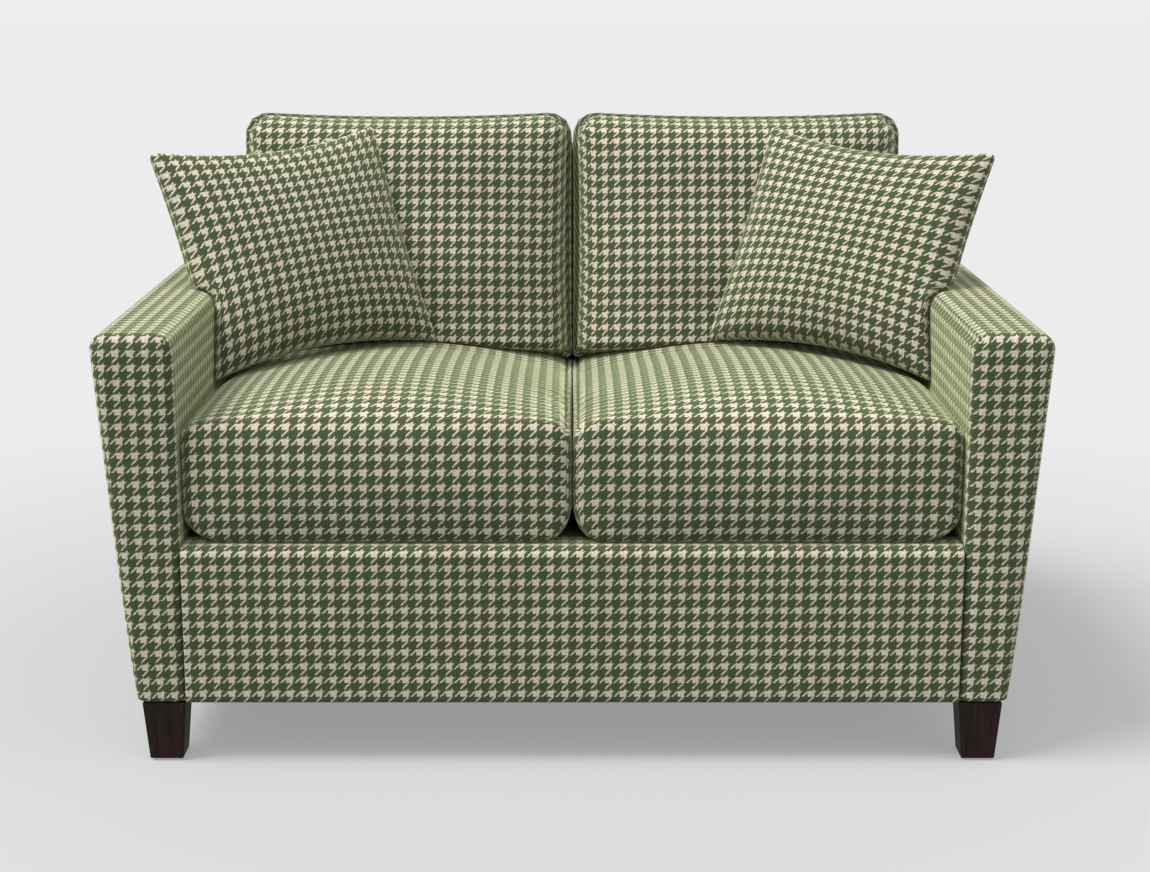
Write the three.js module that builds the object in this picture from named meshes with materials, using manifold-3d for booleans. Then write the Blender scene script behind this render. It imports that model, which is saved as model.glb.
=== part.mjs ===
// A compact two-seat settee with slim arms: a timber frame with sinuous seat springs and back webbing,
// upholstered arms, border and back, and six loose cushions.
// Millimetres. +Z is up, +X is to the right of someone who faces the settee, and the front is towards -Y.
// The origin is on the floor below the middle. Both halves are alike, so the right-hand half is drawn once
// and mirrored.

import * as THREE from "three";
import { mergeVertices } from "three/addons/utils/BufferGeometryUtils.js";
import Module from "manifold-3d";

const wasm = await Module();
wasm.setup();

// Overall sizes.
const overallDepth = 920;
const seatWidth = 1106;
const baseHeight = 91;
const seatLevel = 321;
const seatSeamHeight = 498;
const armHeight = 625;
const armWidthAtBase = 74;
const armWidthAtTop = 117;
const backHeight = 807;
const backTopThickness = 75;
const rearRake = THREE.MathUtils.degToRad(5);
const insideRake = THREE.MathUtils.degToRad(14);

// Clearances and helpers of the cutting solids.
const clearance = 0.3;
const weldDistance = 0.001;
const overrun = 60;

// Upholstery thicknesses.
const armPad = 9;
const armTopPad = 12;
const armFrontPad = 12;
const armEdgeRadius = 26;
const armFrontRadius = 15;
const borderPad = 12;
const borderTopDepth = 60;
const borderTopRadius = 15;
const borderFootRadius = 5;
const platformThickness = 20;
const dustCoverThickness = 1.2;
const backPad = 12;
const backTopPad = 16;
const backSidePad = 10;
const backRearLip = 38;
const backFrontRadius = 24;
const backRearRadius = 16;
const rearPanelThickness = 8;

// Timber sizes.
const postDepth = 45;
const armRailHeight = 34;
const railThickness = 28;
const sideRailThickness = 30;
const frontRailTop = 293;
const backRailHeight = 102;
const uprightThickness = 32;
const backTopRailHeight = 55;
const cornerBlockLeg = 70;
const cornerBlockHeight = 62;

// Springs and webbing.
const springsPerSeat = 4;
const springWire = 3.8;
const springLoopWidth = 54;
const springArch = 3;
const springTurns = 10;
const springTurnRoundnessShare = 0.45;
const springEndMargin = 7;
const strapCount = 4;
const strapWidth = 60;
const strapThickness = 2;
const strapMargin = 30;

// Feet.
const footTopSize = 62;
const footBottomSize = 48;
const boltRadius = 4;
const boltInFoot = 35;
const boltInPost = 40;
const glideRadius = 13;
const glideThickness = 3;

// Seat cushions.
const cushionSideGap = 0.6;
const cushionSetback = 20;
const seatCushionRearGap = 10;
const seatCornerRadius = 24;
const seatEdgeAcross = 46;
const seatEdgeAlong = 20;
const seatSeamAcross = 8;
const seatFrontBulge = 12;
const seatCrown = 35;
const seatCrownPeakedness = 1.3;
const seatRiseLength = 50;
const seatFall = 21;
const seatFallPlace = 520;
const seatFallLateness = 2.6;
const seatRollAcross = 45;
const seatRollAtRear = 45;
const seatRollDrop = 12;

// Back cushions.
const backCushionTop = 884;
const backCushionThickness = 145;
const backCushionTuck = 53;
const backCushionEdge = 18;
const backCushionSeam = 6;
const backCushionCornerRadius = 42;
const backCushionCrown = 45;
const backCushionCrownFlatness = 2.8;
const backCushionCrownLength = 5;
const backCushionBelly = 10;
const backCushionBellyPlaceShare = -0.28;
const backCushionBellyWidthShare = 0.33;
const backCushionRoll = 55;
const backCushionRollAtFoot = 15;
const backCushionRollDrop = 40;
const backCushionDip = 9;
const backCushionWaist = 4;

// Scatter cushions.
const scatterWidth = 404;
const scatterHeight = 376;
const scatterThickness = 140;
const scatterRoundness = 0.42;
const scatterSeam = 6;
const scatterCornerRadius = 12;
const scatterDrawIn = 21;
const scatterFromArm = 111;
const scatterFromRear = 404;
const scatterAboveSeam = 174;
const scatterTurn = THREE.MathUtils.degToRad(33.7);
const scatterLean = THREE.MathUtils.degToRad(25.2);
const scatterRoll = THREE.MathUtils.degToRad(3.6);

// Places that follow from the sizes.
const frontY = -overallDepth / 2;
const rearTopY = overallDepth / 2 + backRearRadius * Math.sin(rearRake);
const innerX = seatWidth / 2;
const frontPostRear = frontY + armFrontPad + clearance + postDepth;
const footX = innerX + clearance + footTopSize / 2;
const platformBottom = seatLevel - platformThickness;
const railBottom = baseHeight + dustCoverThickness + clearance;
const rearPanelOffset = (rearPanelThickness + clearance) / Math.cos(rearRake);
const uprightOffset = (backPad + strapThickness + 3 * clearance) / Math.cos(insideRake);
const uprightOuterX = innerX - clearance - backSidePad - clearance;
const backRailTop = railBottom + backRailHeight;

const rearY = (height) => rearTopY - (backHeight - height) * Math.tan(rearRake);
const insideY = (height) => rearTopY - backTopThickness - (backHeight - height) * Math.tan(insideRake);
const armSlope = (armWidthAtTop - armWidthAtBase) / (armHeight - baseHeight);
const armOuterX = (height) => innerX + armWidthAtBase + (height - baseHeight) * armSlope;
const uprightFrontY = insideY(seatLevel) + uprightOffset;

// Finishes.
const finish = (color, roughness, metalness = 0) =>
  new THREE.MeshStandardMaterial({ color, roughness, metalness });
const houndstooth = finish(0x717360, 0.95);
const darkWood = finish(0x241a17, 0.45);
const timber = finish(0xc9a878, 0.8);
const plywood = finish(0xb9935f, 0.8);
const springSteel = finish(0x55585c, 0.4, 0.9);
const zincSteel = finish(0xa8acb0, 0.35, 0.9);
const elasticWeb = finish(0x2c2c2c, 0.9);
const platformFelt = finish(0xb9b3a6, 0.95);
const blackLining = finish(0x1c1c1e, 0.95);
const nylon = finish(0x303234, 0.6);

// A geometry as a solid for cutting and joining.
function solidOf(geometry) {
  const bare = geometry.clone();
  bare.deleteAttribute("normal");
  bare.deleteAttribute("uv");
  const merged = mergeVertices(bare, weldDistance);
  const vertProperties = merged.attributes.position.array;
  const triVerts = new Uint32Array(merged.index.array);
  return new wasm.Manifold(new wasm.Mesh({ numProp: 3, vertProperties, triVerts }));
}

// A solid back as a geometry.
function geometryOf(solid) {
  const made = solid.getMesh();
  const geometry = new THREE.BufferGeometry();
  geometry.setAttribute("position", new THREE.BufferAttribute(made.vertProperties, made.numProp));
  geometry.setIndex(new THREE.BufferAttribute(made.triVerts, 1));
  geometry.computeVertexNormals();
  return geometry;
}

// A closed outline. Each corner is [a, b] or, where it is rounded, [a, b, radius].
function outlineOf(corners) {
  const points = corners.map(([a, b]) => new THREE.Vector2(a, b));
  const shape = new THREE.Shape();
  points.forEach((corner, index) => {
    const radius = corners[index][2] ?? 0;
    const before = points.at(index - 1).clone().sub(corner).setLength(radius).add(corner);
    const after = points[(index + 1) % points.length].clone().sub(corner).setLength(radius).add(corner);
    if (index === 0) shape.moveTo(before.x, before.y);
    else shape.lineTo(before.x, before.y);
    if (radius > 0) shape.quadraticCurveTo(corner.x, corner.y, after.x, after.y);
  });
  shape.closePath();
  return shape;
}

// An outline in X and Z, drawn out along Y.
function alongY(corners, front, rear) {
  const settings = { depth: rear - front, bevelEnabled: false, curveSegments: 4 };
  return new THREE.ExtrudeGeometry(outlineOf(corners), settings).rotateX(Math.PI / 2).translate(0, rear, 0);
}

// An outline in Y and Z, drawn out along X.
function alongX(corners, left, right) {
  const settings = { depth: right - left, bevelEnabled: false, curveSegments: 4 };
  const geometry = new THREE.ExtrudeGeometry(outlineOf(corners), settings);
  return geometry.rotateX(Math.PI / 2).rotateZ(Math.PI / 2).translate(left, 0, 0);
}

// An outline in X and Y, drawn out along Z.
function alongZ(corners, bottom, top) {
  const settings = { depth: top - bottom, bevelEnabled: false };
  return new THREE.ExtrudeGeometry(outlineOf(corners), settings).translate(0, 0, bottom);
}

// A block between its lowest and highest corners.
function blockBetween(low, high) {
  const size = high.map((value, axis) => value - low[axis]);
  const middle = high.map((value, axis) => (value + low[axis]) / 2);
  return new THREE.BoxGeometry(...size).translate(...middle);
}

// An upright rod.
function rod(radius, x, y, bottom, top) {
  const sides = 12;
  const geometry = new THREE.CylinderGeometry(radius, radius, top - bottom, sides);
  return geometry.rotateX(Math.PI / 2).translate(x, y, (top + bottom) / 2);
}

// Everything behind the raked rear face, moved forwards by an offset.
function behindRear(offset) {
  const low = baseHeight - overrun;
  const high = backHeight + overrun;
  const far = overallDepth;
  const corners = [
    [rearY(low) - offset, low],
    [rearY(high) - offset, high],
    [far, high],
    [far, low],
  ];
  return solidOf(alongX(corners, -seatWidth, seatWidth));
}

// The right-hand arm's cover: a flared case with rounded edges, open below and, under the seat, inwards.
function armCover() {
  const outline = outlineOf([
    [innerX, baseHeight],
    [innerX, armHeight, armEdgeRadius],
    [armOuterX(armHeight), armHeight, armEdgeRadius],
    [armOuterX(baseHeight), baseHeight],
  ]);
  const settings = {
    depth: overallDepth,
    bevelThickness: armFrontRadius,
    bevelSize: armFrontRadius,
    bevelOffset: -armFrontRadius,
    bevelSegments: 4,
    curveSegments: 4,
  };
  const body = new THREE.ExtrudeGeometry(outline, settings);
  body.rotateX(Math.PI / 2).translate(0, frontY + overallDepth + armFrontRadius, 0);
  const pocketOutline = armPocket(0, innerX - overrun, baseHeight - overrun);
  const pocket = solidOf(alongY(pocketOutline, frontY + armFrontPad, rearTopY));
  const hollow = pocket.subtract(behindRear(armPad));
  return geometryOf(solidOf(body).subtract(behindRear(0)).subtract(hollow));
}

// The outline that the arm's timbers fill, a gap inside the cover.
function armPocket(gap, footInnerX, footBottom) {
  const padInnerX = innerX + armPad + gap;
  const top = armHeight - armTopPad - gap;
  const step = platformBottom - gap;
  return [
    [footInnerX, footBottom],
    [footInnerX, step],
    [padInnerX, step],
    [padInnerX, top],
    [armOuterX(top) - armPad - gap, top],
    [armOuterX(footBottom) - armPad - gap, footBottom],
  ];
}

// The hole for a foot's bolt in the post above it.
function boltHole(y) {
  const top = baseHeight + boltInPost + clearance;
  return solidOf(rod(boltRadius + clearance, footX, y, baseHeight - overrun, top));
}

function armFrontPost() {
  const outline = armPocket(clearance, innerX + clearance, baseHeight + clearance);
  const post = solidOf(alongY(outline, frontPostRear - postDepth, frontPostRear));
  return geometryOf(post.subtract(boltHole(frontFootY)));
}

function armBackPost() {
  const outline = armPocket(clearance, innerX + clearance, baseHeight + clearance);
  const post = solidOf(alongY(outline, 0, rearTopY));
  const slab = behindRear(armPad + clearance + postDepth).subtract(behindRear(armPad + clearance));
  return geometryOf(post.intersect(slab).subtract(boltHole(rearFootY)));
}

function armTopRail() {
  const top = armHeight - armTopPad - clearance;
  const bottom = top - armRailHeight;
  const padInnerX = innerX + armPad + clearance;
  const corners = [
    [padInnerX, bottom],
    [padInnerX, top],
    [armOuterX(top) - armPad - clearance, top],
    [armOuterX(bottom) - armPad - clearance, bottom],
  ];
  const rail = solidOf(alongY(corners, frontPostRear + clearance, rearTopY));
  return geometryOf(rail.subtract(behindRear(armPad + postDepth + 2 * clearance)));
}

function baseSideRail() {
  const low = [innerX + clearance, frontPostRear + clearance, railBottom];
  const high = [innerX + clearance + sideRailThickness, rearTopY, platformBottom - clearance];
  const rail = solidOf(blockBetween(low, high));
  return geometryOf(rail.subtract(behindRear(armPad + postDepth + 2 * clearance)));
}

const frontFootY = frontPostRear - postDepth / 2;
const rearFootY = rearY(baseHeight) - armPad - clearance - postDepth / 2;

// A square foot that tapers on all four sides, with the bore for its bolt.
function foot(y) {
  const top = baseHeight - clearance;
  const bottom = glideThickness + clearance;
  const corners = 4;
  const acrossCorners = Math.SQRT1_2;
  const body = new THREE.CylinderGeometry(
    footTopSize * acrossCorners, footBottomSize * acrossCorners, top - bottom, corners);
  body.rotateY(Math.PI / corners).rotateX(Math.PI / 2).translate(footX, y, (top + bottom) / 2);
  const bore = rod(boltRadius + clearance, footX, y, top - boltInFoot - clearance, top + overrun);
  return geometryOf(solidOf(body).subtract(solidOf(bore)));
}

// The border below the seat cushions: a padded front that turns over the front rail.
function frontBorder() {
  const insideFront = frontY + borderPad;
  const rear = frontY + borderTopDepth;
  const corners = [
    [frontY, baseHeight, borderFootRadius],
    [frontY, seatLevel, borderTopRadius],
    [rear, seatLevel],
    [rear, platformBottom],
    [insideFront, platformBottom],
    [insideFront, baseHeight],
  ];
  return alongX(corners, -innerX + clearance, innerX - clearance);
}

const frontRailFrontY = frontY + borderPad + clearance;
const frontRailRearY = frontRailFrontY + railThickness;
const springRailRearY = uprightFrontY - clearance;
const springRailFrontY = springRailRearY - railThickness;

function baseFrontRail() {
  return blockBetween([-innerX, frontRailFrontY, railBottom], [innerX, frontRailRearY, frontRailTop]);
}

function springRail() {
  return blockBetween(
    [-innerX, springRailFrontY, backRailTop + clearance],
    [innerX, springRailRearY, frontRailTop]);
}

function baseBackRail() {
  const rail = solidOf(blockBetween([-innerX, 0, railBottom], [innerX, overallDepth, backRailTop]));
  const slab = behindRear(rearPanelOffset + railThickness).subtract(behindRear(rearPanelOffset));
  return geometryOf(rail.intersect(slab));
}

const backRailFrontY = rearY(railBottom) - rearPanelOffset - railThickness;

function baseCentreRail() {
  const half = railThickness / 2;
  return blockBetween(
    [-half, frontRailRearY + clearance, railBottom],
    [half, backRailFrontY - clearance, backRailTop]);
}

// A triangular block in a corner of the base. A towards of 1 points it rearwards, and -1 forwards.
function cornerBlock(y, towards) {
  const corners = [
    [innerX, y],
    [innerX, y + towards * cornerBlockLeg],
    [innerX - cornerBlockLeg, y],
  ];
  return alongZ(corners, railBottom, railBottom + cornerBlockHeight);
}

// A shaped upright of the back: upright behind the seat and raked above it, deep at the seat and slim on top.
function upright(left, right, top) {
  const corners = [
    [uprightFrontY, backRailTop + clearance],
    [uprightFrontY, seatLevel],
    [insideY(top) + uprightOffset, top],
    [rearY(top) - rearPanelOffset, top],
    [rearY(backRailTop) - rearPanelOffset, backRailTop + clearance],
  ];
  return alongX(corners, left, right);
}

const uprightTop = backHeight - backTopPad - clearance;
const topRailBottom = uprightTop - backTopRailHeight;

function backTopRail() {
  const corners = [
    [insideY(topRailBottom) + uprightOffset, topRailBottom],
    [insideY(uprightTop) + uprightOffset, uprightTop],
    [rearY(uprightTop) - rearPanelOffset, uprightTop],
    [rearY(topRailBottom) - rearPanelOffset, topRailBottom],
  ];
  const half = uprightOuterX - uprightThickness - clearance;
  return alongX(corners, -half, half);
}

// The inside back: a raked pad that turns over the top and down the sides, open below and behind.
function insideBackCover() {
  const bottom = seatLevel + clearance;
  const low = bottom - overrun;
  const pocketTop = backHeight - backTopPad;
  const panelTop = backHeight - backRearLip;
  const outer = [
    [insideY(bottom), bottom],
    [insideY(backHeight), backHeight, backFrontRadius],
    [rearTopY, backHeight, backRearRadius],
    [rearY(bottom), bottom],
  ];
  const pad = backPad / Math.cos(insideRake);
  const pocket = [
    [insideY(low) + pad, low],
    [insideY(pocketTop) + pad, pocketTop],
    [rearY(pocketTop) - rearPanelThickness, pocketTop],
    [rearY(panelTop) - rearPanelThickness, panelTop],
    [rearTopY + overrun, panelTop],
    [rearTopY + overrun, low],
  ];
  const half = innerX - clearance;
  const body = solidOf(alongX(outer, -half, half));
  const hollow = solidOf(alongX(pocket, -half + backSidePad, half - backSidePad));
  return geometryOf(body.subtract(hollow));
}

// The outside back: one raked panel, as wide as the seat below the inside back, and set between the sides of
// the inside back above.
function outsideBackCover() {
  const thickness = rearPanelThickness / Math.cos(rearRake);
  const panel = (top, half) => {
    const corners = [
      [rearY(baseHeight) - thickness, baseHeight],
      [rearY(top) - thickness, top],
      [rearY(top), top],
      [rearY(baseHeight), baseHeight],
    ];
    return solidOf(alongX(corners, -half, half));
  };
  const lower = panel(seatLevel, innerX - clearance);
  const upper = panel(backHeight - backRearLip - clearance, innerX - backSidePad - 2 * clearance);
  return geometryOf(lower.add(upper));
}

function seatPlatform() {
  return blockBetween(
    [-innerX + clearance, frontY + borderTopDepth + clearance, platformBottom],
    [innerX - clearance, uprightFrontY - clearance, seatLevel]);
}

// The lining under the base. Between the feet it reaches out under the arms.
function dustCover() {
  const rear = rearY(baseHeight) - rearPanelOffset;
  const narrow = innerX - clearance;
  const wide = armOuterX(baseHeight) - armPad - clearance;
  const frontCorner = frontPostRear + clearance;
  const rearCorner = rearY(baseHeight) - armPad - postDepth - 2 * clearance;
  const corners = [
    [-narrow, frontRailFrontY],
    [narrow, frontRailFrontY],
    [narrow, frontCorner],
    [wide, frontCorner],
    [wide, rearCorner],
    [narrow, rearCorner],
    [narrow, rear],
    [-narrow, rear],
    [-narrow, rearCorner],
    [-wide, rearCorner],
    [-wide, frontCorner],
    [-narrow, frontCorner],
  ];
  return alongZ(corners, baseHeight, baseHeight + dustCoverThickness);
}

// The centre line of a sinuous spring: straight bars across, joined by round turns, from the front rail to
// the spring rail, arched in the middle.
class SpringPath extends THREE.Curve {
  constructor(x) {
    super();
    this.x = x;
  }
  getPoint(share, target = new THREE.Vector3()) {
    const start = frontRailFrontY + springEndMargin;
    const end = springRailRearY - springEndMargin;
    const phase = share * springTurns * 2 * Math.PI;
    const wave = Math.sin(phase) / Math.hypot(Math.sin(phase), springTurnRoundnessShare * Math.cos(phase));
    const rest = frontRailTop + clearance + springWire / 2;
    return target.set(
      this.x + (wave * (springLoopWidth - springWire)) / 2,
      start + (end - start) * share,
      rest + springArch * Math.sin(Math.PI * share));
  }
}

const springSteps = springTurns * 6;

function seatSpring(x) {
  const sides = 5;
  const section = new THREE.Shape();
  for (let side = 0; side < sides; side++) {
    const angle = (side / sides) * 2 * Math.PI;
    const a = (Math.cos(angle) * springWire) / 2;
    const b = (Math.sin(angle) * springWire) / 2;
    if (side === 0) section.moveTo(a, b);
    else section.lineTo(a, b);
  }
  section.closePath();
  return new THREE.ExtrudeGeometry(section, { steps: springSteps, extrudePath: new SpringPath(x) });
}

// The least gap of a spring to itself, measured on points at least half a turn apart.
function springLeastGap() {
  const points = new SpringPath(0).getSpacedPoints(springSteps * 2);
  const apart = springSteps / springTurns;
  let least = Infinity;
  points.forEach((one, index) => {
    points.slice(index + apart).forEach((other) => {
      least = Math.min(least, one.distanceTo(other));
    });
  });
  return least - springWire;
}

// One strap of elastic webbing across the uprights, flat against their raked front edges.
function backStrap(height) {
  const strap = new THREE.BoxGeometry(2 * uprightOuterX, strapThickness, strapWidth);
  const inFront = (strapThickness / 2 + clearance) / Math.cos(insideRake);
  return strap.rotateX(-insideRake).translate(0, insideY(height) + uprightOffset - inFront, height);
}

// The place of a point of a quarter rectangle once the rectangle's corner is rounded.
function roundedCorner(x, y, halfX, halfY, radius) {
  const overX = x - (halfX - radius);
  const overY = y - (halfY - radius);
  if (overX <= 0 || overY <= 0) {
    return [x, y];
  }
  const rounding = Math.max(overX, overY) / Math.hypot(overX, overY);
  return [halfX - radius + overX * rounding, halfY - radius + overY * rounding];
}

// How far down a rounded edge a point is: 0 at reach from the edge and 1 on it, as a quarter of an ellipse.
// A reach of zero leaves the edge in Y sharp.
function rollFall(fromEdgeX, fromEdgeY, reachX, reachY) {
  const overX = Math.max(0, 1 - fromEdgeX / reachX);
  const overY = reachY > 0 ? Math.max(0, 1 - fromEdgeY / reachY) : 0;
  const over = Math.min(1, Math.cbrt(overX ** 3 + overY ** 3));
  return 1 - Math.sqrt(1 - over ** 2);
}

// A box cushion lying on its back in X and Y: a gridded block whose plan corners are rounded, whose edges are
// drawn in level by level, and whose top panel is crowned and rolls down at its edges. levelShares holds,
// from the bottom up, the height of each level as a share of the thickness, and its insets as shares of the
// edge's and of the seam's.
function boxCushion(form) {
  const levels = form.levelShares.length - 1;
  const geometry = new THREE.BoxGeometry(1, 1, 1, form.columns, form.rows, levels);
  const halfAcross = form.width / 2;
  const halfAlong = form.length / 2;
  const position = geometry.attributes.position;
  for (let index = 0; index < position.count; index++) {
    const across = Math.sin(position.getX(index) * Math.PI);
    const along = Math.sin(position.getY(index) * Math.PI);
    const level = Math.round((position.getZ(index) + 0.5) * levels);
    const [heightShare, insetShare, seamShare] = form.levelShares[level];
    const boxX = Math.abs(across) * halfAcross;
    const boxY = Math.abs(along) * halfAlong;
    let [x, y] = roundedCorner(boxX, boxY, halfAcross, halfAlong, form.cornerRadius);
    x *= 1 - (form.edgeAcross * insetShare + form.seam * seamShare) / halfAcross;
    y *= 1 - (form.edgeAlong * insetShare + form.seam * seamShare) / halfAlong;
    const rollAlong = along < 0 ? form.rollAtFront : form.rollAtRear;
    const fall = rollFall(halfAcross - boxX, halfAlong - boxY, form.rollAcross, rollAlong);
    const placed = form.shape(across, along, heightShare);
    position.setXYZ(
      index,
      Math.sign(across) * x + placed.x,
      Math.sign(along) * y + placed.y,
      heightShare * form.thickness + placed.z - form.rollDrop * fall * heightShare ** 4);
  }
  return geometry;
}

// The crown of a seat cushion: a steep rise behind the front seam, fullest in the middle, then a slow fall.
function seatCrownAt(across, along, length) {
  const behind = ((along + 1) / 2) * length;
  const middle = (1 - across ** 2) ** seatCrownPeakedness;
  const rise = seatCrown * (1 - Math.exp(-behind / seatRiseLength));
  const fall = seatFall * Math.min(1, behind / seatFallPlace) ** seatFallLateness;
  return rise * middle - fall;
}

// The right-hand seat cushion, grown by a gap above for what rests on it.
function seatCushion(gap) {
  const front = frontY + cushionSetback;
  const length = insideY(seatLevel) - seatCushionRearGap - front;
  const geometry = boxCushion({
    width: innerX - 2 * cushionSideGap,
    length,
    thickness: seatSeamHeight - seatLevel - clearance + gap,
    cornerRadius: seatCornerRadius,
    edgeAcross: seatEdgeAcross,
    edgeAlong: seatEdgeAlong,
    seam: seatSeamAcross,
    rollAcross: seatRollAcross,
    rollAtFront: 0,
    rollAtRear: seatRollAtRear,
    rollDrop: seatRollDrop,
    columns: 14,
    rows: 14,
    levelShares: [
      [0, 1, 0],
      [0.03, 0.62, 0],
      [0.11, 0.24, 0],
      [0.27, 0, 0],
      [0.85, 0, 0],
      [0.96, 0, 0.25],
      [1, 0, 1],
    ],
    shape: (across, along, heightShare) => ({
      x: 0,
      y: -seatFrontBulge * Math.max(0, -along) ** 3 * (1 - across ** 2) * Math.sin(Math.PI * heightShare),
      z: seatCrownAt(across, along, length) * heightShare ** 6,
    }),
  });
  return geometry.translate(innerX / 2, front + length / 2, seatLevel + clearance);
}

// The right-hand back cushion, raked with the inside back and cut where it sits on the seat cushion.
function backCushion() {
  const foot = seatSeamHeight - backCushionTuck;
  const length =
    (backCushionTop - foot - backCushionThickness * Math.sin(insideRake)) / Math.cos(insideRake);
  const geometry = boxCushion({
    width: innerX - 2 * cushionSideGap,
    length,
    thickness: backCushionThickness,
    cornerRadius: backCushionCornerRadius,
    edgeAcross: backCushionEdge,
    edgeAlong: backCushionEdge,
    seam: backCushionSeam,
    rollAcross: backCushionRoll,
    rollAtFront: backCushionRollAtFoot,
    rollAtRear: backCushionRoll,
    rollDrop: backCushionRollDrop,
    columns: 14,
    rows: 14,
    levelShares: [
      [0, 1, 0],
      [0.04, 0.45, 0],
      [0.12, 0, 0],
      [0.85, 0, 0],
      [0.96, 0, 0.3],
      [1, 0, 1],
    ],
    shape: (across, along, heightShare) => {
      const middle = 1 - Math.abs(across) ** backCushionCrownFlatness;
      const fromBelly = (along - backCushionBellyPlaceShare) / backCushionBellyWidthShare;
      const crown = backCushionCrown * (1 - Math.max(0, along) ** backCushionCrownLength);
      const belly = backCushionBelly * Math.exp(-(fromBelly ** 2));
      return {
        x: -backCushionWaist * across * (1 - along ** 2) * heightShare ** 3,
        y: -backCushionDip * Math.max(0, along) ** 3 * (1 - across ** 2),
        z: (crown + belly) * middle * heightShare ** 8,
      };
    },
  });
  geometry.translate(0, length / 2, clearance).rotateX(Math.PI / 2 - insideRake);
  geometry.translate(innerX / 2, insideY(foot), foot);
  return geometry;
}

// A knife-edge cushion: two bulging faces that meet in a thin seam drawn in between the four corners.
function scatterCushion() {
  const cells = 14;
  const geometry = new THREE.BoxGeometry(1, 1, 1, cells, cells, 1);
  const position = geometry.attributes.position;
  const halfWidth = scatterWidth / 2;
  const halfHeight = scatterHeight / 2;
  for (let index = 0; index < position.count; index++) {
    const across = Math.sin(position.getX(index) * Math.PI);
    const along = Math.sin(position.getY(index) * Math.PI);
    const fullness = ((1 - across ** 2) * (1 - along ** 2)) ** scatterRoundness;
    const thickness = scatterSeam + (scatterThickness - scatterSeam) * fullness;
    const boxX = Math.abs(across) * halfWidth;
    const boxY = Math.abs(along) * halfHeight;
    const [x, y] = roundedCorner(boxX, boxY, halfWidth, halfHeight, scatterCornerRadius);
    position.setXYZ(
      index,
      Math.sign(across) * x - across * scatterDrawIn * (1 - along ** 2),
      Math.sign(along) * y - along * scatterDrawIn * (1 - across ** 2),
      Math.sign(position.getZ(index)) * (thickness / 2));
  }
  geometry.rotateZ(-scatterRoll).rotateX(Math.PI / 2 - scatterLean).rotateZ(-scatterTurn);
  return geometry.translate(
    innerX - scatterFromArm, overallDepth / 2 - scatterFromRear, seatSeamHeight + scatterAboveSeam);
}

// The right-hand arm's outer form grown by a gap, for cutting what leans on it.
function armForm(gap) {
  const corners = [
    [innerX - gap, baseHeight],
    [innerX - gap, armHeight + gap, armEdgeRadius],
    [armOuterX(armHeight) + overrun, armHeight + gap],
    [armOuterX(armHeight) + overrun, baseHeight],
  ];
  return solidOf(alongY(corners, frontY, rearTopY + overrun));
}

// The cushions of one side, cut to rest on each other with a gap.
function cushionSet() {
  const gap = clearance;
  const seatAbove = solidOf(seatCushion(gap));
  const back = solidOf(backCushion()).subtract(seatAbove);
  const scatter = solidOf(scatterCushion())
    .subtract(armForm(gap))
    .subtract(seatAbove)
    .subtract(solidOf(backCushion().translate(0, -gap, gap)));
  return { seat: seatCushion(0), back: geometryOf(back), scatter: geometryOf(scatter) };
}

function add(group, name, geometry, material) {
  const mesh = new THREE.Mesh(geometry, material);
  mesh.name = name;
  group.add(mesh);
  return mesh;
}

const settee = new THREE.Group();

// The frame and covers that run across both seats.
const middle = new THREE.Group();
settee.add(middle);
add(middle, "base_front_rail", baseFrontRail(), timber);
add(middle, "base_back_rail", baseBackRail(), timber);
add(middle, "base_spring_rail", springRail(), timber);
add(middle, "base_centre_rail", baseCentreRail(), timber);
add(middle, "back_top_rail", backTopRail(), timber);
const halfUpright = uprightThickness / 2;
add(middle, "back_centre_upright", upright(-halfUpright, halfUpright, topRailBottom - clearance), plywood);
add(middle, "front_border", frontBorder(), houndstooth);
add(middle, "inside_back_cover", insideBackCover(), houndstooth);
add(middle, "outside_back_cover", outsideBackCover(), houndstooth);
add(middle, "seat_platform", seatPlatform(), platformFelt);
add(middle, "dust_cover", dustCover(), blackLining);
const strapLow = seatLevel + strapMargin + strapWidth / 2;
const strapHigh = topRailBottom - strapMargin;
for (let strap = 0; strap < strapCount; strap++) {
  const height = THREE.MathUtils.lerp(strapLow, strapHigh, strap / (strapCount - 1));
  add(middle, `back_strap_${strap + 1}`, backStrap(height), elasticWeb);
}

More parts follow.
